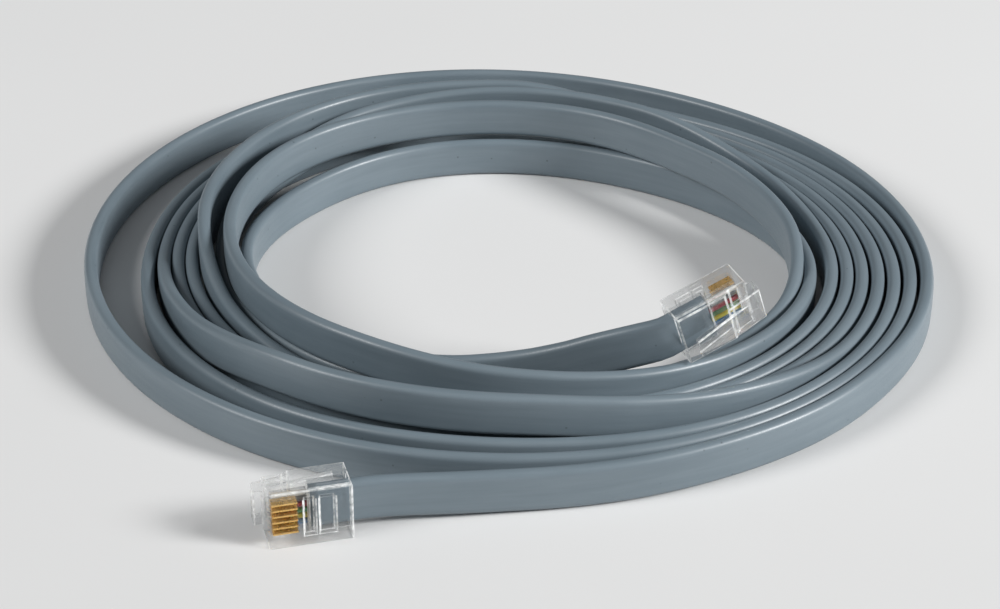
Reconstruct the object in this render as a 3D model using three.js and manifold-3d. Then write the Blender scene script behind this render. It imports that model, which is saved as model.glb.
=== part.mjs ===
// A flat six-conductor telephone cord, loosely coiled on its narrow edge, with a clear modular plug on each end.
// Millimetres, +Z up. The floor is z = 0 and the origin is under the middle of the cord.
import * as THREE from "three";
import { mergeVertices } from "three/addons/utils/BufferGeometryUtils.js";
import Module from "manifold-3d";

// Driving dimensions of the flat cord.
const cordWidth = 7.2;
const cordThickness = 2.3;
const cordEdgeRound = 0.8;
const conductors = 6;
const wireDiameter = 0.9;
const tubeStep = 6.2;

// Driving dimensions of the coil: how far its outer and inner sides lie from its centre, every 30 degrees from +X.
const coilCentre = [-0.05, 6.63];
const coilOuterSide = [75.7, 73.8, 73.6, 76.3, 78.3, 77.3, 75.6, 75.2, 74.9, 75.2, 75.7, 75.1];
const coilInnerSide = [49.2, 43.8, 40.5, 40.3, 41.4, 42.9, 45.0, 45.4, 49.2, 52.0, 53.0, 53.0];
const coilSegments = 72;
const coilTurns = 9;
const turnGrooveDepth = 1.2;
const liftedTurnRise = 7.3;
const liftedAzimuth = 150;
const liftedSweep = [-0.75, -0.45];
const liftedMiddle = 0.36;
const liftedMiddleSwing = 0.17;
const liftedHalf = 0.3;
const liftedEdge = 0.12;

// Driving dimensions of the modular plug, the same for both ends.
const plugLength = 13.0;
const plugThickness = 6.6;
const plugWidth = 9.65;
const plugNoseThickness = 5.6;
const plugStepX = 3.2;
const noseChamfer = 0.5;
const contactPitch = 1.02;
const contactThickness = 0.3;
const contactStart = 0.7;
const contactLength = 3.9;
const contactHeight = 1.9;
const contactRecess = 0.5;
const jacketInPlug = 6.2;
const wireNoseGap = 0.9;
const conductorBar = [5.5, 7.2];
const jacketBar = [7.9, 10.3];
const barWindowWidth = 6.4;
const barWindowDepth = 1.0;
const latchReach = 1.5;
const latchThickness = 1.1;
const latchShoulderWidth = 6.1;
const latchLeverWidth = 3.25;
const latchShoulderEnd = 4.6;
const latchEnd = 11.6;
const latchLift = 2.4;
const latchRootGap = 0.5;
const latchRootEnd = 0.6;
const latchTipRise = 0.6;

// Clearances.
const fitGap = 0.3;
const slotGap = 0.15;
const floorGap = 0.1;

// The place of each plug: the middle of its rear end, and its heading, pitch and roll in degrees.
const plugARear = [-23.85, -76.57, plugWidth / 2];
const plugAHeading = 195;
const plugBRear = [27.2, -43.1, 15.0];
const plugBHeading = 22;
const plugBPitch = 20;
const plugBRoll = 6;
const rollFade = 45;

// The cord's middle line where it isn't coiled, as chosen by hand: from each plug's rear end to the coil.
const floorLine = cordWidth / 2 + floorGap;
const leadAPoints = [
  [-18.0, -75.1, floorLine + 0.9], [-10.1, -73.9, floorLine + 0.5], [0.0, -72.6, floorLine + 0.2],
  [9.9, -71.1, floorLine], [18.8, -69.1, floorLine], [28.6, -65.5, floorLine],
  [38.5, -60.4, floorLine], [47.3, -54.4, floorLine], [54.9, -47.4, floorLine],
  [61.4, -39.3, floorLine], [66.4, -31.4, floorLine],
];
const leadBPoints = [
  [22.0, -43.9, floorLine + 9.6], [15.4, -42.9, floorLine + 7.2], [9.6, -41.4, floorLine + 4.6],
  [3.8, -39.9, floorLine + 2.5], [-2.4, -38.8, floorLine + 1.1], [-9.0, -38.0, floorLine + 0.3],
  [-15.4, -36.5, floorLine], [-21.2, -34.2, floorLine], [-29.9, -28.9, floorLine],
];

const wasm = await Module();
wasm.setup();

const jacketPlastic = { color: 0x808d98, roughness: 0.45, metalness: 0 };
const clearPlastic = { color: 0xdfe4e4, roughness: 0.08, metalness: 0, transparent: true, opacity: 0.45 };
const goldPlate = { color: 0xd9a441, roughness: 0.25, metalness: 1 };
const wireColors = {
  blue: 0x2b62b0, yellow: 0xe3c72f, green: 0x2f8a45, red: 0xb3262c, black: 0x202124, white: 0xe8e6df,
};

// A geometry as a closed solid that can be joined and cut.
function solid(geometry) {
  const bare = geometry.index ? geometry.toNonIndexed() : geometry.clone();
  bare.deleteAttribute("normal");
  bare.deleteAttribute("uv");
  const merged = mergeVertices(bare, 1e-4);
  return new wasm.Manifold(
    new wasm.Mesh({
      numProp: 3,
      vertProperties: merged.attributes.position.array,
      triVerts: new Uint32Array(merged.index.array),
    }),
  );
}

function geometryOf(shape) {
  const made = shape.getMesh();
  return new THREE.BufferGeometry()
    .setAttribute("position", new THREE.BufferAttribute(new Float32Array(made.vertProperties), 3))
    .setIndex(new THREE.BufferAttribute(new Uint32Array(made.triVerts), 1));
}

function namedMesh(name, geometry, look) {
  if (geometry.attributes.normal === undefined) geometry.computeVertexNormals();
  const mesh = new THREE.Mesh(geometry, new THREE.MeshStandardMaterial(look));
  mesh.name = name;
  return mesh;
}

// A block from its lowest corner to its highest.
function block([x0, y0, z0], [x1, y1, z1]) {
  return solid(new THREE.BoxGeometry(x1 - x0, y1 - y0, z1 - z0)
    .translate((x0 + x1) / 2, (y0 + y1) / 2, (z0 + z1) / 2));
}

// A side outline in X and Y, extruded over the heights z0 to z1.
function plate(points, z0, z1) {
  const outline = new THREE.Shape(points.map(([x, y]) => new THREE.Vector2(x, y)));
  return solid(new THREE.ExtrudeGeometry(outline, { depth: z1 - z0, bevelEnabled: false }).translate(0, 0, z0));
}

// The middle line of a flat cord that stays on its narrow edge, with a roll that fades out along it.
class RibbonRoute extends THREE.CatmullRomCurve3 {
  constructor(points, startRoll) {
    super(points, false, "centripetal");
    this.startRoll = startRoll;
  }

  computeFrenetFrames(steps) {
    const frames = { tangents: [], normals: [], binormals: [] };
    const length = this.getLength();
    for (let i = 0; i <= steps; i += 1) {
      const share = i / steps;
      const tangent = this.getTangentAt(share);
      const side = new THREE.Vector3().crossVectors(tangent, new THREE.Vector3(0, 0, 1)).normalize();
      const fade = THREE.MathUtils.smoothstep(share * length - jacketInPlug - tubeStep / 2, 0, rollFade);
      const roll = this.startRoll * (1 - fade);
      const normal = new THREE.Vector3().crossVectors(side, tangent).applyAxisAngle(tangent, roll);
      frames.tangents.push(tangent);
      frames.normals.push(normal);
      frames.binormals.push(side.applyAxisAngle(tangent, roll));
    }
    return frames;
  }
}

// The section of the flat cord: wide along X, with its four corners cut to eight sides.
function cordSection() {
  const w = cordWidth / 2;
  const t = cordThickness / 2;
  const c = cordEdgeRound;
  return new THREE.Shape([
    [w, t - c], [w - c, t], [c - w, t], [-w, t - c], [-w, c - t], [c - w, -t], [w - c, -t], [w, c - t],
  ].map(([x, y]) => new THREE.Vector2(x, y)));
}

// The frame of a plug: its X runs from the nose to the rear, its Y from the contacts to the latch, its Z over its width.
function plugFrame(rear, heading, pitch, roll) {
  const turn = new THREE.Matrix4().makeRotationZ(THREE.MathUtils.degToRad(heading + 180))
    .multiply(new THREE.Matrix4().makeRotationY(THREE.MathUtils.degToRad(pitch)))
    .multiply(new THREE.Matrix4().makeRotationX(THREE.MathUtils.degToRad(roll)));
  const middle = new THREE.Vector3(plugLength, plugThickness / 2, plugWidth / 2).applyMatrix4(turn);
  return turn.setPosition(new THREE.Vector3(...rear).sub(middle));
}

const frameA = plugFrame(plugARear, plugAHeading, 0, 0);
const frameB = plugFrame(plugBRear, plugBHeading, plugBPitch, -plugBRoll);

// The lead between a plug and the coil: it starts inside the plug's cable opening.
function leadGeometry(frame, points, roll) {
  const inPlug = [jacketInPlug, jacketInPlug / 2, 0, -jacketInPlug / 4].map((depth) =>
    new THREE.Vector3(plugLength - depth, plugThickness / 2, plugWidth / 2).applyMatrix4(frame));
  const route = new RibbonRoute([...inPlug, ...points.map((p) => new THREE.Vector3(...p))], roll);
  const steps = Math.round(route.getLength() / tubeStep);
  return new THREE.ExtrudeGeometry(cordSection(), { steps, extrudePath: route, bevelEnabled: false });
}

// A smooth closed curve of distance over azimuth through the chosen stations.
function sideCurve(distances) {
  const ring = new THREE.CatmullRomCurve3(distances.map((d) => new THREE.Vector3(d, 0, 0)), true, "catmullrom");
  return (azimuth) => ring.getPoint((((azimuth % 360) + 360) % 360) / 360).x;
}

// How far the lifted turns stand over the others: they lie near the bore at the back and near the rim in front.
function liftShare(azimuth, share) {
  const angle = THREE.MathUtils.degToRad(azimuth);
  const bandMiddle = liftedMiddle - liftedMiddleSwing * Math.sin(angle);
  const across = THREE.MathUtils.smoothstep(liftedHalf - Math.abs(share - bandMiddle), 0, liftedEdge);
  const facing = Math.cos(angle - THREE.MathUtils.degToRad(liftedAzimuth));
  const along = THREE.MathUtils.smoothstep(facing, ...liftedSweep);
  return across * along;
}

// The coil as one turned solid with its bore: each turn shows on its upper side as a ridge between two grooves.
function coilGeometry() {
  const outer = sideCurve(coilOuterSide);
  const inner = sideCurve(coilInnerSide);
  const profile = [new THREE.Vector2(0, 0), new THREE.Vector2(1, 0)];
  for (let turn = coilTurns; turn > 0; turn -= 1) {
    const start = turn / coilTurns;
    const ridge = cordThickness / (cordThickness + fitGap) / coilTurns;
    profile.push(new THREE.Vector2(start, cordWidth), new THREE.Vector2(start - ridge, cordWidth));
    if (turn > 1) profile.push(new THREE.Vector2(start - (ridge + 1 / coilTurns) / 2, cordWidth - turnGrooveDepth));
  }
  profile.push(new THREE.Vector2(0, cordWidth), new THREE.Vector2(0, 0));
  const turned = new THREE.LatheGeometry(profile.map((p) => new THREE.Vector2(p.x + 1, p.y)), coilSegments);
  const position = turned.attributes.position;
  for (let i = 0; i < position.count; i += 1) {
    const angle = Math.atan2(position.getX(i), position.getZ(i));
    const azimuth = THREE.MathUtils.radToDeg(angle);
    const share = Math.hypot(position.getX(i), position.getZ(i)) - 1;
    const distance = THREE.MathUtils.lerp(inner(azimuth), outer(azimuth), share);
    const lift = position.getY(i) > 0 ? liftedTurnRise * liftShare(azimuth, share) : 0;
    position.setXYZ(i, coilCentre[0] + distance * Math.cos(angle), coilCentre[1] + distance * Math.sin(angle),
      position.getY(i) + lift);
  }
  return geometryOf(solid(turned));
}

// The clear body of a plug in its own frame, with its latch moulded on.
function plugBody() {
  const middle = plugWidth / 2;
  const rearCut = plugThickness - plugNoseThickness;
  let body = plate([
    [0, noseChamfer], [noseChamfer, 0], [plugLength, 0], [plugLength, plugThickness],
    [plugStepX + rearCut, plugThickness], [plugStepX, plugNoseThickness], [0, plugNoseThickness],
  ], 0, plugWidth);
  const jacketHalf = cordWidth / 2 + fitGap;
  const jacketSide = cordThickness / 2 + fitGap;
  const axis = plugThickness / 2;
  const jacketEnd = plugLength - jacketInPlug - fitGap;
  body = body.subtract(block(
    [jacketEnd, axis - jacketSide, middle - jacketHalf], [plugLength + 1, axis + jacketSide, middle + jacketHalf]));
  const wireHalf = (conductors * contactPitch) / 2;
  const wireSide = wireDiameter / 2 + fitGap;
  body = body.subtract(block(
    [wireNoseGap, axis - wireSide, middle - wireHalf - slotGap],
    [jacketEnd + 1, axis + wireSide, middle + wireHalf + slotGap]));
  for (let i = 0; i < conductors; i += 1) {
    const z = contactZ(i);
    const half = contactThickness / 2 + slotGap;
    body = body.subtract(block(
      [contactStart - slotGap, -1, z - half], [contactStart + contactLength + slotGap, axis, z + half]));
  }
  for (const [x0, x1] of [conductorBar, jacketBar]) {
    body = body.subtract(block(
      [x0, -1, middle - barWindowWidth / 2], [x1, barWindowDepth, middle + barWindowWidth / 2]));
  }
  return body.add(latch(middle));
}

// The latch: shoulders round the nose, and a narrower lever that leans away from the body.
function latch(middle) {
  const root = plugNoseThickness;
  const low = root + latchRootGap;
  const slope = (latchLift - latchRootGap) / (latchEnd + latchReach);
  const at = (x) => low + slope * (x + latchReach);
  const shoulders = plate([
    [-latchReach, root - latchThickness], [-latchReach, at(-latchReach) + latchThickness],
    [latchShoulderEnd, at(latchShoulderEnd) + latchThickness], [latchShoulderEnd, at(latchShoulderEnd)],
    [latchRootEnd, at(latchRootEnd)], [latchRootEnd / 2, root - latchRootEnd / 2],
    [latchRootEnd / 2, root - latchThickness],
  ], middle - latchShoulderWidth / 2, middle + latchShoulderWidth / 2);
  const lever = plate([
    [latchRootEnd, at(latchRootEnd)], [latchRootEnd, at(latchRootEnd) + latchThickness],
    [latchEnd, at(latchEnd) + latchThickness + latchTipRise], [latchEnd, at(latchEnd) + latchTipRise],
  ], middle - latchLeverWidth / 2, middle + latchLeverWidth / 2);
  return shoulders.add(lever);
}

function contactZ(index) {
  return plugWidth / 2 + (index - (conductors - 1) / 2) * contactPitch;
}

// One plug with its body, its contacts and the bare ends of its insulated wires.
function plug(end, frame) {
  const group = new THREE.Group();
  group.matrixAutoUpdate = false;
  group.matrix.copy(frame);
  group.add(namedMesh(`plug_${end}_body`, geometryOf(plugBody()), clearPlastic));
  const axis = plugThickness / 2;
  Object.entries(wireColors).forEach(([color, hex], i) => {
    const z = contactZ(i);
    const contactDepth = Math.min(contactRecess + contactHeight, axis - wireDiameter / 2 - slotGap);
    const contact = new THREE.BoxGeometry(contactLength, contactDepth - contactRecess, contactThickness)
      .translate(contactStart + contactLength / 2, (contactRecess + contactDepth) / 2, z);
    group.add(namedMesh(`plug_${end}_contact_${i + 1}`, contact, goldPlate));
    const wireStart = wireNoseGap + fitGap;
    const wireEnd = plugLength - jacketInPlug - fitGap;
    const wire = new THREE.CylinderGeometry(wireDiameter / 2, wireDiameter / 2, wireEnd - wireStart, 8)
      .rotateZ(Math.PI / 2).translate((wireStart + wireEnd) / 2, axis, z);
    group.add(namedMesh(`plug_${end}_wire_${color}`, wire, { color: hex, roughness: 0.5, metalness: 0 }));
  });
  return group;
}

const cord = new THREE.Group();
cord.name = "telephone_cord";
cord.add(namedMesh("cord_coil", coilGeometry(), jacketPlastic));
cord.add(namedMesh("cord_lead_a", leadGeometry(frameA, leadAPoints, 0), jacketPlastic));
cord.add(namedMesh("cord_lead_b",
  leadGeometry(frameB, leadBPoints, -THREE.MathUtils.degToRad(plugBRoll)), jacketPlastic));
cord.add(plug("a", frameA), plug("b", frameB));

export default cord;
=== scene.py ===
# A flat telephone cord in a loose coil with a clear modular plug on each end.
import math
import bpy
import bmesh
import numpy as np
from mathutils import Matrix, Vector


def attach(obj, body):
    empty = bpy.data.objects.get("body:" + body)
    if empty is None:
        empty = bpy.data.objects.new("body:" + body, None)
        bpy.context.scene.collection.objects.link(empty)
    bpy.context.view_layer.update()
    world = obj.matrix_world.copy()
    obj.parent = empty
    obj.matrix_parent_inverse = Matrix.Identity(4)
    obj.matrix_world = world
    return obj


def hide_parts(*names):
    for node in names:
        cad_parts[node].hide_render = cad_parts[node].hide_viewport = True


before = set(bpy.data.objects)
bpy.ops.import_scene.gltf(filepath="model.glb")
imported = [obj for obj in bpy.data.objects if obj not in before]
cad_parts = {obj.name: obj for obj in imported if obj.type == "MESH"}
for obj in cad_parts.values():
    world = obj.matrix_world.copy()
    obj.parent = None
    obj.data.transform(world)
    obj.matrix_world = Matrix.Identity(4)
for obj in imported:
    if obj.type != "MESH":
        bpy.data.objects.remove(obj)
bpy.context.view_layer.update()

mm = 0.001
scene = bpy.context.scene

# Camera: at the photograph's viewing angle, in metres.
cameraView = {
    "place": (-0.00105, -0.3809, 0.2051),
    "lookAt": (-0.00105, -0.00637, 0.0),
    "lens": 86.4,
    "sensor": 36.0,
    "clipStart": 0.01,
}


def makeCamera():
    data = bpy.data.cameras.new("camera")
    data.lens = cameraView["lens"]
    data.sensor_width = cameraView["sensor"]
    data.clip_start = cameraView["clipStart"]
    camera = bpy.data.objects.new("camera", data)
    camera.location = cameraView["place"]
    direction = Vector(cameraView["lookAt"]) - Vector(cameraView["place"])
    camera.rotation_euler = direction.to_track_quat("-Z", "Y").to_euler()
    scene.collection.objects.link(camera)
    scene.camera = camera


# Puts a number, a colour or another node's socket into a node's socket.
def connect(tree, target, value):
    if isinstance(value, Sock):
        tree.links.new(value.socket, target)
    else:
        target.default_value = value


# A socket of a node tree, with arithmetic that adds its Math nodes.
class Sock:
    def __init__(self, tree, socket):
        self.tree = tree
        self.socket = socket

    def math(self, operation, *values, clamp=False):
        node = self.tree.nodes.new("ShaderNodeMath")
        node.operation = operation
        node.use_clamp = clamp
        for i, value in enumerate(values):
            connect(self.tree, node.inputs[i], value)
        return Sock(self.tree, node.outputs[0])

    def __add__(self, other):
        return self.math("ADD", self, other)

    def __radd__(self, other):
        return self.math("ADD", other, self)

    def __sub__(self, other):
        return self.math("SUBTRACT", self, other)

    def __rsub__(self, other):
        return self.math("SUBTRACT", other, self)

    def __mul__(self, other):
        return self.math("MULTIPLY", self, other)

    def __rmul__(self, other):
        return self.math("MULTIPLY", other, self)

    def clamped(self):
        return self.math("ADD", self, 0.0, clamp=True)


# A material with one Principled shader, and a method that adds any other node.
class Finish:
    def __init__(self, name, constants):
        self.material = bpy.data.materials.new(name)
        self.material.use_nodes = True
        self.tree = self.material.node_tree
        self.shader = self.tree.nodes["Principled BSDF"]
        for socket, value in constants.items():
            self.shader.inputs[socket].default_value = value

    def node(self, kind, sockets, settings=None, output=0):
        made = self.tree.nodes.new("ShaderNode" + kind)
        for key, value in (settings or {}).items():
            setattr(made, key, value)
        for key, value in sockets.items():
            connect(self.tree, made.inputs[key], value)
        return Sock(self.tree, made.outputs[output])

    def place(self):
        return self.node("TexCoord", {}, output="Object")

    def noise(self, vector, scale, detail, **more):
        return self.node("TexNoise", {"Vector": vector, "Scale": scale, "Detail": detail, **more})

    # 0 below low, 1 above high, and straight between them.
    def ramp(self, value, low, high):
        return self.node("MapRange", {"Value": value, "From Min": low, "From Max": high})

    # The Mix node's sockets 0, 6 and 7 are its factor and its two colours, and output 2 is the colour.
    def mix(self, factor, a, b):
        return self.node("Mix", {0: factor, 6: a, 7: b}, {"data_type": "RGBA"}, output=2)

    def set(self, socket, value):
        connect(self.tree, self.shader.inputs[socket], value)


# A piece from an array of points and a list of faces, at the origin.
def meshPiece(name, points, faces, material, smooth=True):
    data = bpy.data.meshes.new(name)
    data.from_pydata(points.tolist(), [], faces)
    data.update()
    data.polygons.foreach_set("use_smooth", np.full(len(data.polygons), smooth))
    data.materials.append(material)
    piece = bpy.data.objects.new(name, data)
    scene.collection.objects.link(piece)
    return piece


# The quads between rings of points, and an end face on each side. Point j of ring i is number i x around + j.
def tubeFaces(rings, around):
    i = np.arange(rings - 1)[:, None] * around
    j = np.arange(around)[None, :]
    k = (j + 1) % around
    quads = np.stack([i + j, i + k, i + around + k, i + around + j], axis=-1).reshape(-1, 4)
    ends = [list(range(around - 1, -1, -1)), list(range((rings - 1) * around, rings * around))]
    return quads.tolist() + ends


# The plug, in millimetres in its own frame: X from the nose to the rear, Y from the contacts to the latch,
# Z over its width. Each rear is the middle of the plug's rear end in the part, with its turns in degrees.
plugShape = {
    "length": 13.0,
    "thickness": 6.6,
    "width": 9.65,
    "slotsEnd": 5.0,  # the contact slots' depth from the nose
    "slotsHalfWidth": 3.366,  # half of the width that the six slots take
    "rearA": (-23.85, -76.57, 4.825),
    "headingA": 195.0,
    "rearB": (27.2, -43.1, 15.0),
    "headingB": 22.0,
    "pitchB": 20.0,
    "rollB": -6.0,
    "edgeWidth": 0.26,  # the rounding of a long edge, and a short one's share of it
    "shortShare": 0.3,
    "shortEdge": 1.4,
    "longEdge": 4.0,
    "sharpAngle": 25,
}


# The matrix from a plug's own millimetres to the part's metres.
def plugFrame(rear, heading, pitch, roll):
    turn = (Matrix.Rotation(math.radians(heading + 180), 4, "Z")
            @ Matrix.Rotation(math.radians(pitch), 4, "Y")
            @ Matrix.Rotation(math.radians(roll), 4, "X"))
    p = plugShape
    middle = turn @ Vector((p["length"], p["thickness"] / 2, p["width"] / 2))
    place = Matrix.Translation(Vector(rear) - middle)
    return Matrix.Scale(mm, 4) @ place @ turn


plugFrames = {
    "a": plugFrame(plugShape["rearA"], plugShape["headingA"], 0.0, 0.0),
    "b": plugFrame(plugShape["rearB"], plugShape["headingB"], plugShape["pitchB"], plugShape["rollB"]),
}


# Points on the cable opening's axis, that many metres inside the plug's rear end.
def inPlugPoints(matrix, depths):
    p = plugShape
    return [matrix @ Vector((p["length"] - d / mm, p["thickness"] / 2, p["width"] / 2)) for d in depths]


# The cord: its section, and its route round the middle of the coil. Metres and degrees.
cord = {
    "width": 0.0072,
    "thickness": 0.0023,
    "edgeRound": 0.00105,
    "crown": 0.00006,  # how far the long sides bulge
    "cornerPoints": 6,
    "sideSteps": 6,
    "floorLine": 0.0037,  # the middle line of the part's leads, and how much lower the turns lie
    "turnsLower": 0.0001,
    "lowest": 0.00005,
    "centre": (-0.00005, 0.00663),
    "step": 0.0016,
    "samples": 12000,
    "inPlug": 0.0062,
    "rollB": -6.0,  # the cord's turn about itself in plug B, held for rollHold and gone after rollFade more
    "rollHold": 0.0093,
    "rollFade": 0.045,
}

# The part's own points for the stretches that aren't coiled, from each plug's rear end to the coil.
leadA = [
    (-0.0180, -0.0751, 0.0046), (-0.0101, -0.0739, 0.0042), (0.0000, -0.0726, 0.0039),
    (0.0099, -0.0711, 0.0037), (0.0188, -0.0691, 0.0037), (0.0286, -0.0655, 0.0037),
    (0.0385, -0.0604, 0.0037), (0.0473, -0.0544, 0.0037), (0.0549, -0.0474, 0.0037),
    (0.0614, -0.0393, 0.0037), (0.0664, -0.0314, 0.0037),
]
leadB = [
    (0.0220, -0.0439, 0.0133), (0.0154, -0.0429, 0.0109), (0.0096, -0.0414, 0.0083),
    (0.0038, -0.0399, 0.0062), (-0.0024, -0.0388, 0.0048), (-0.0090, -0.0380, 0.0040),
    (-0.0154, -0.0365, 0.0037), (-0.0212, -0.0342, 0.0037), (-0.0299, -0.0289, 0.0037),
]

# Each turn: the distance of its middle line from the coil's centre in millimetres, every 30 degrees from the
# front (270 degrees) round by the right, and how far it is lifted over the turns that it crosses.
firstAngle, angleStep = 270, 30
turns = [
    {"distance": (None, None, None, 74.8, 72.7, 72.5, 75.7, 77.6, 76.4, 74.7, 74.1, 74.0)},
    {"distance": (74.2, 74.8, 74.1, 71.4, 66.8, 63.6, 64.6, 63.0, 63.0, 63.6, 66.7, 69.0)},
    {"distance": (69.7, 72.1, 71.6, 68.3, 63.6, 61.1, 62.1, 60.5, 60.5, 61.1, 63.1, 66.3),
     "lift": (0, 0, 0, 0, 0, 0, 0, 0, 0, 0, 3.2, 7.2)},
    {"distance": (67.3, 69.2, 68.7, 65.6, 61.0, 58.7, 59.7, 58.1, 58.1, 58.7, 60.4, 63.4),
     "lift": (6.7, 3.3, 0, 0, 0, 0, 0, 0, 0, 0, 0, 0)},
    {"distance": (64.8, 66.2, 65.9, 62.8, 58.6, 56.3, 57.3, 55.7, 55.7, 56.3, 57.8, 60.7)},
    {"distance": (62.3, 63.7, 63.3, 60.2, 56.1, 53.6, 53.6, 55.4, 54.8, 54.0, 54.7, 57.1),
     "lift": (0, 0, 0, 0, 0, 3.2, 7.3, 7.3, 7.3, 7.3, 1.6, 0)},
    {"distance": (59.7, 61.1, 60.5, 57.6, 53.6, 50.9, 50.3, 50.6, 51.8, 51.3, 51.6, 53.3),
     "lift": (0, 0, 0, 0, 2.5, 6.4, 7.3, 6.4, 2.5, 0, 0, 0)},
    {"distance": (53.4, 54.2, 54.2, 50.5, 43.0, 42.3, 43.5, 45.2, 47.5, 48.8, 51.4, 54.2),
     "lift": (0, 0, 0.5, 4.7, 7.3, 7.3, 7.3, 7.3, 7.3, 7.3, 7.3, 7.3)},
    {"distance": (57.2, 58.4, 57.0, 53.1, 46.0, 41.6, 41.3, 42.4, 43.6, 46.4, 46.8, None),
     "lift": (5.4, 2.7, 1.0, 0, 0, 0, 0, 0, 0, 0, 0, 0)},
]


# The smooth cubic through the stations: its second derivatives solve one linear system, zero at both ends.
def naturalSpline(x, y, at):
    h = np.diff(x)
    n = len(x)
    system = np.zeros((n, n))
    right = np.zeros(n)
    system[0, 0] = system[-1, -1] = 1
    inner = np.arange(1, n - 1)
    system[inner, inner - 1] = h[:-1]
    system[inner, inner] = 2 * (h[:-1] + h[1:])
    system[inner, inner + 1] = h[1:]
    right[inner] = 6 * (np.diff(y)[1:] / h[1:] - np.diff(y)[:-1] / h[:-1])
    bend = np.linalg.solve(system, right)
    i = np.clip(np.searchsorted(x, at, side="right") - 1, 0, n - 2)
    a = (x[i + 1] - at) / h[i]
    b = 1 - a
    return (a * y[i] + b * y[i + 1]
            + ((a ** 3 - a) * bend[i] + (b ** 3 - b) * bend[i + 1]) * h[i] ** 2 / 6)


# A cubic through the stations that never overshoots them. Its slope at a station is the harmonic mean of the
# slopes on both sides, and level where they differ in sign.
def levelSpline(x, y, at):
    slope = np.diff(y) / np.diff(x)
    tangent = np.zeros(len(x))
    same = slope[:-1] * slope[1:] > 0
    tangent[1:-1][same] = (2 * slope[:-1] * slope[1:])[same] / (slope[:-1] + slope[1:])[same]
    tangent[0], tangent[-1] = slope[0], slope[-1]
    i = np.clip(np.searchsorted(x, at, side="right") - 1, 0, len(x) - 2)
    h = x[i + 1] - x[i]
    t = (at - x[i]) / h
    return ((2 * t ** 3 - 3 * t ** 2 + 1) * y[i] + (t ** 3 - 2 * t ** 2 + t) * h * tangent[i]
            + (3 * t ** 2 - 2 * t ** 3) * y[i + 1] + (t ** 3 - t ** 2) * h * tangent[i + 1])


# Azimuth, distance and height of each station, from inside plug A, round the coil, to inside plug B.
def cordStations():
    c = cord
    depths = (c["inPlug"], c["inPlug"] / 2, 0.0, -c["inPlug"] / 4)
    first = inPlugPoints(plugFrames["a"], depths) + [Vector(p) for p in leadA]
    last = [Vector(p) for p in reversed(leadB)] + inPlugPoints(plugFrames["b"], depths)[::-1]
    rows = []
    for points, turnsBefore in ((first, 0), (last, len(turns))):
        for p in points:
            x, y = p.x - c["centre"][0], p.y - c["centre"][1]
            azimuth = math.degrees(math.atan2(y, x)) % 360
            rows.append((azimuth + 360 * turnsBefore, math.hypot(x, y), p.z))
    for number, turn in enumerate(turns):
        lift = turn.get("lift", (0,) * len(turn["distance"]))
        for j, distance in enumerate(turn["distance"]):
            if distance is not None:
                azimuth = firstAngle + angleStep * j + 360 * number
                rows.append((azimuth, distance * mm, c["floorLine"] - c["turnsLower"] + lift[j] * mm))
    return np.array(sorted(rows))


# The cord's middle line as points a step apart, with its side and its upright axis at each, and the length so
# far. Distance and height follow the azimuth, and a point is centre + distance x (cosine, sine).
def cordRoute():
    c = cord
    stations = cordStations()
    azimuth = np.linspace(stations[0, 0], stations[-1, 0], c["samples"])
    distance = naturalSpline(stations[:, 0], stations[:, 1], azimuth)
    height = levelSpline(stations[:, 0], stations[:, 2], azimuth)
    angle = np.radians(azimuth)
    fine = np.stack([c["centre"][0] + distance * np.cos(angle),
                     c["centre"][1] + distance * np.sin(angle), height], axis=1)
    along = np.concatenate([[0], np.cumsum(np.linalg.norm(np.diff(fine, axis=0), axis=1))])
    count = int(round(along[-1] / c["step"])) + 1
    s = np.linspace(0, along[-1], count)
    points = np.stack([np.interp(s, along, fine[:, k]) for k in range(3)], axis=1)
    tangent = np.gradient(points, axis=0)
    tangent /= np.linalg.norm(tangent, axis=1)[:, None]
    side = np.cross(tangent, (0, 0, 1))
    side /= np.linalg.norm(side, axis=1)[:, None]
    upright = np.cross(side, tangent)
    t = np.clip((along[-1] - s - c["rollHold"]) / c["rollFade"], 0, 1)
    roll = math.radians(c["rollB"]) * (1 - t * t * (3 - 2 * t))
    turnedSide = side * np.cos(roll)[:, None] - upright * np.sin(roll)[:, None]
    turnedUp = upright * np.cos(roll)[:, None] + side * np.sin(roll)[:, None]
    return points, turnedSide, turnedUp, s


# A rectangle with four round corners, whose long sides bulge by the crown as a cosine.
def cordSection():
    c = cord
    w, t, r = c["width"] / 2, c["thickness"] / 2, c["edgeRound"]
    corner = np.radians(np.linspace(0, 90, c["cornerPoints"]))
    points = []
    for across, up, start in ((1, 1, 0), (-1, 1, 90), (-1, -1, 180), (1, -1, 270)):
        a = corner + math.radians(start)
        points.append(np.stack([across * (t - r) + r * np.cos(a), up * (w - r) + r * np.sin(a)], axis=1))
        if across * up < 0:  # a long side follows this corner
            rise = np.linspace(up, -up, c["sideSteps"] + 1)[1:-1]
            bulge = c["crown"] * np.cos(rise * math.pi / 2)
            points.append(np.stack([across * (t + bulge), rise * (w - r)], axis=1))
    return np.concatenate(points)


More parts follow.
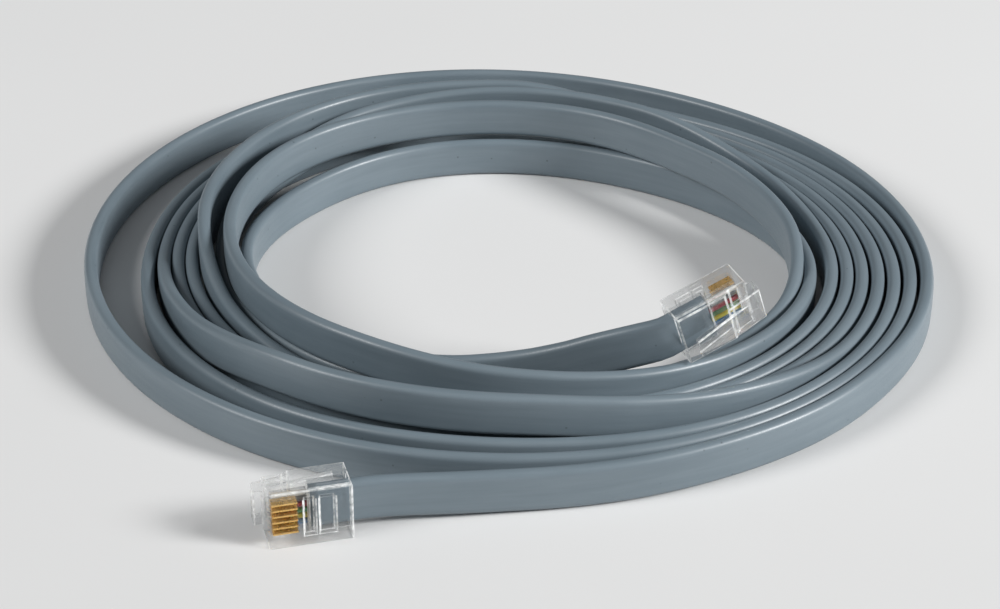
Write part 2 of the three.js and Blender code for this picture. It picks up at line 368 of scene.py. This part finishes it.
# The section carried along the route: each point is middle + across x side + up x upright.
def makeCord(material):
    points, side, upright, s = cordRoute()
    section = cordSection()
    grid = (points[:, None] + section[None, :, :1] * side[:, None]
            + section[None, :, 1:] * upright[:, None])
    grid[..., 2] = np.maximum(grid[..., 2], cord["lowest"])
    around = len(section)
    piece = meshPiece("flat_cord", grid.reshape(-1, 3), tubeFaces(len(points), around), material)
    # UV: U along the cord and V round it, both in decimetres. A ring's last quad ends at the full girth.
    sides = np.linalg.norm(np.diff(section, axis=0, append=section[:1]), axis=1)
    girth = np.concatenate([[0], np.cumsum(sides)])
    loops = np.empty(len(piece.data.loops), dtype=np.int64)
    piece.data.loops.foreach_get("vertex_index", loops)
    ring, spot = loops // around, loops % around
    v = girth[spot]
    quads = 4 * (len(points) - 1) * around
    corners = v[:quads].reshape(-1, 4)
    isLast = np.ptp(corners, axis=1)[:, None] > girth[-1] / 2
    v[:quads] = np.where(isLast & (corners == 0), girth[-1], corners).reshape(-1)
    uv = piece.data.uv_layers.new(name="UVMap")
    uv.data.foreach_set("uv", (np.stack([s[ring], v], axis=1) * 10).astype(np.float32).reshape(-1))
    return piece, points


jacketLook = {
    "constants": {"Specular IOR Level": 0.55, "Coat Weight": 0.25, "Coat Roughness": 0.3},
    "deep": (0.145, 0.188, 0.218, 1),
    "pale": (0.176, 0.222, 0.254, 1),
    "speck": (0.05, 0.07, 0.085, 1),
    "mottleScale": (6.0, 90.0, 1.0),
    "cloudScale": 60.0,
    "speckScale": 240.0,
    "grainScale": 4200.0,
    "lineScale": (1.0, 260.0, 1.0),
    "roughness": 0.33,
    "roughnessSpread": 0.12,
    "bumpStrength": 0.2,
    "bumpHeight": 0.00004,
}


# Satin PVC: blue-grey with a faint mottle along the cord, specks, cloudy gloss and a fine grain.
def jacketFinish():
    look = jacketLook
    f = Finish("jacket_pvc", look["constants"])
    uv = f.node("UVMap", {}, {"uv_map": "UVMap"})
    place = f.place()
    stretched = f.node("Mapping", {"Vector": uv, "Scale": look["mottleScale"]})
    mottle = f.noise(stretched, 1.0, 4.0, Roughness=0.6)
    cloud = f.noise(place, look["cloudScale"], 3.0)
    cell = f.node("TexVoronoi", {"Vector": place, "Scale": look["speckScale"]})
    dark = 1 - f.ramp(cell, 0.03, 0.06)
    tone = f.mix(f.ramp(mottle * 0.6 + cloud * 0.4, 0.35, 0.65), look["deep"], look["pale"])
    f.set("Base Color", f.mix((dark * 0.6).clamped(), tone, look["speck"]))
    grain = f.noise(place, look["grainScale"], 1.0)
    spread = look["roughnessSpread"]
    gloss = f.ramp(cloud, 0.2, 0.8) * spread + f.ramp(grain, 0.3, 0.7) * spread
    f.set("Roughness", gloss + look["roughness"])
    drawn = f.node("Mapping", {"Vector": uv, "Scale": look["lineScale"]})
    lines = f.noise(drawn, 1.0, 3.0)
    f.set("Normal", f.node("Bump", {"Height": lines * 0.6 + grain * 0.4, "Strength": look["bumpStrength"],
                                    "Distance": look["bumpHeight"]}))
    return f.material


# What the simple finishes differ in. A noise of the scale and detail steers the tone from a to b, and a ramp
# between two of its values the roughness, and the alpha where there is one, as start + rise x ramp.
simpleLooks = {
    "clear_plug": {  # clear polycarbonate, mostly seen through, with a faint haze where the mould left one
        "constants": {"Transmission Weight": 1.0, "IOR": 1.5, "Specular IOR Level": 0.7},
        "scale": 260.0, "detail": 3.0, "a": (0.95, 0.97, 0.97, 1), "b": (1.0, 1.0, 1.0, 1),
        "roughRamp": (0.3, 0.8), "roughness": (0.02, 0.06), "alphaRamp": (0.35, 0.65), "alpha": (0.1, 0.14),
    },
    # painted highlight: the finish of the plug's rounded edges is whiter and less clear than the body, so
    # they show as bright lines; its fine noise paints a speckled glint
    "painted_highlight_edge": {  # the rounded edges of the same plastic, which gather the light and read as bright lines
        "constants": {"IOR": 1.5, "Specular IOR Level": 0.9, "Coat Weight": 0.5, "Coat Roughness": 0.1},
        "scale": 900.0, "detail": 2.0, "a": (0.86, 0.89, 0.88, 1), "b": (1.0, 1.0, 0.99, 1),
        "roughRamp": (0.3, 0.8), "roughness": (0.08, 0.15), "alphaRamp": (0.35, 0.65), "alpha": (0.3, 0.55),
    },
    "gold_plate": {
        "constants": {"Metallic": 0.75, "Specular IOR Level": 0.6},
        "scale": 900.0, "detail": 2.0, "a": (0.90, 0.52, 0.14, 1), "b": (0.98, 0.66, 0.25, 1),
        "roughRamp": (0.3, 0.7), "roughness": (0.2, 0.15),
    },
}
wireColours = {
    "white": (0.80, 0.79, 0.74, 1), "black": (0.02, 0.02, 0.022, 1), "red": (0.42, 0.03, 0.045, 1),
    "green": (0.05, 0.26, 0.08, 1), "yellow": (0.72, 0.58, 0.06, 1), "blue": (0.04, 0.18, 0.46, 1),
}


def simpleFinish(name, look):
    f = Finish(name, look["constants"])
    noise = f.noise(f.place(), look["scale"], look["detail"])
    f.set("Base Color", f.mix(noise, look["a"], look["b"]))
    start, rise = look["roughness"]
    f.set("Roughness", f.ramp(noise, *look["roughRamp"]) * rise + start)
    if "alpha" in look:
        start, rise = look["alpha"]
        f.set("Alpha", f.ramp(noise, *look["alphaRamp"]) * rise + start)
    return f.material


def wireFinish(name, colour):
    darker = tuple(0.8 * x for x in colour[:3]) + (1,)
    return simpleFinish("wire_" + name, {
        "constants": {"Specular IOR Level": 0.5}, "scale": 500.0, "detail": 2.0, "a": darker, "b": colour,
        "roughRamp": (0.3, 0.7), "roughness": (0.3, 0.1),
    })


# The moulded body with its latch: the part's solid with its edges rounded as a mould leaves them. The thin
# walls between the contacts stay sharp, and a short edge is rounded less than a long one.
def makePlugBody(end, material, highlightEdgeMaterial):
    p = plugShape
    name = f"plug_{end}_body"
    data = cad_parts[name].data.copy()
    piece = bpy.data.objects.new(f"clear_{name}", data)
    scene.collection.objects.link(piece)
    work = bmesh.new()
    work.from_mesh(data)
    bmesh.ops.remove_doubles(work, verts=work.verts, dist=1e-6)
    bmesh.ops.dissolve_limit(work, angle_limit=math.radians(1), verts=work.verts, edges=work.edges)
    weight = work.edges.layers.float.new("bevel_weight_edge")
    toPlug = plugFrames[end].inverted()
    for edge in work.edges:
        middle = toPlug @ ((edge.verts[0].co + edge.verts[1].co) / 2)
        atContacts = (middle.x < p["slotsEnd"] and middle.y < p["thickness"] / 2
                      and abs(middle.z - p["width"] / 2) < p["slotsHalfWidth"])
        isSharp = len(edge.link_faces) == 2 and edge.calc_face_angle() > math.radians(p["sharpAngle"])
        if isSharp and not atContacts and edge.calc_length() > p["shortEdge"] * mm:
            edge[weight] = 1.0 if edge.calc_length() > p["longEdge"] * mm else p["shortShare"]
    work.to_mesh(data)
    work.free()
    data.materials.clear()
    data.materials.append(material)
    data.materials.append(highlightEdgeMaterial)
    bevel = piece.modifiers.new("moulded_edges", "BEVEL")
    bevel.width = p["edgeWidth"] * mm
    bevel.segments = 2
    bevel.use_clamp_overlap = False
    bevel.limit_method = "WEIGHT"
    # the rounded edges take the painted highlight finish, whiter and less clear than the body
    bevel.material = 1
    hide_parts(name)
    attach(piece, "root")
    return piece


# The floor and the light.
floorLook = {
    "constants": {"Roughness": 0.6, "Specular IOR Level": 0.25},
    # near and far: the floor's tone at the front and at the back, a painted light falloff that makes the
    # floor lighter towards the back
    "near": (0.74, 0.74, 0.735, 1),
    "far": (0.94, 0.94, 0.935, 1),
    "paintedLightRamp": (-0.1, 0.3),
    "cloudScale": 9.0,
    "halfSize": 4.0,
}
lights = {
    "key_right": {"place": (1.36, -0.40, 0.72), "size": 0.44, "power": 28.0},
    "key_left": {"place": (-1.28, -0.50, 1.00), "size": 0.75, "power": 16.5},
}
worldLight = {"colour": (0.93, 0.96, 1.0, 1), "strength": 0.14}


def makeFloor():
    f = Finish("floor_paper", floorLook["constants"])
    place = f.place()
    cloud = f.noise(place, floorLook["cloudScale"], 3.0)
    depth = f.node("SeparateXYZ", {"Vector": place}, output="Y")
    # painted light: the floor grows lighter towards the back, with a faint cloud mixed in
    far = f.ramp(depth, *floorLook["paintedLightRamp"])
    f.set("Base Color", f.mix((cloud * 0.2 + far * 0.8).clamped(), floorLook["near"], floorLook["far"]))
    half = floorLook["halfSize"]
    corners = np.array([(-half, -half, 0), (half, -half, 0), (half, half, 0), (-half, half, 0)])
    meshPiece("floor", corners, [[0, 1, 2, 3]], f.material, smooth=False)


def makeLight(name, place, size, power):
    data = bpy.data.lights.new(name, "AREA")
    data.shape = "DISK"
    data.size = size
    data.energy = power
    light = bpy.data.objects.new(name, data)
    light.location = place
    light.rotation_euler = (-Vector(place)).to_track_quat("-Z", "Y").to_euler()
    scene.collection.objects.link(light)


def makeLights():
    world = bpy.data.worlds.new("studio")
    scene.world = world
    world.use_nodes = True
    background = world.node_tree.nodes["Background"]
    background.inputs["Color"].default_value = worldLight["colour"]
    background.inputs["Strength"].default_value = worldLight["strength"]
    for name, light in lights.items():
        makeLight(name, **light)
    scene.view_settings.view_transform = "Standard"


makeCamera()
cordPiece, cordPath = makeCord(jacketFinish())
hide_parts("cord_coil", "cord_lead_a", "cord_lead_b")
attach(cordPiece, "root")
print("cord made:", len(cordPath), "steps")

clear, paintedHighlightEdge, gold = (simpleFinish(name, look) for name, look in simpleLooks.items())
bodies = [makePlugBody(end, clear, paintedHighlightEdge) for end in "ab"]
for end in "ab":
    for number in range(1, 7):
        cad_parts[f"plug_{end}_contact_{number}"].material_slots[0].material = gold
    for colour, value in wireColours.items():
        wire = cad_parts[f"plug_{end}_wire_{colour}"]
        wire.material_slots[0].material = wireFinish(f"{colour}_{end}", value)
print("plugs made")

makeFloor()
makeLights()
print("floor and lights made")
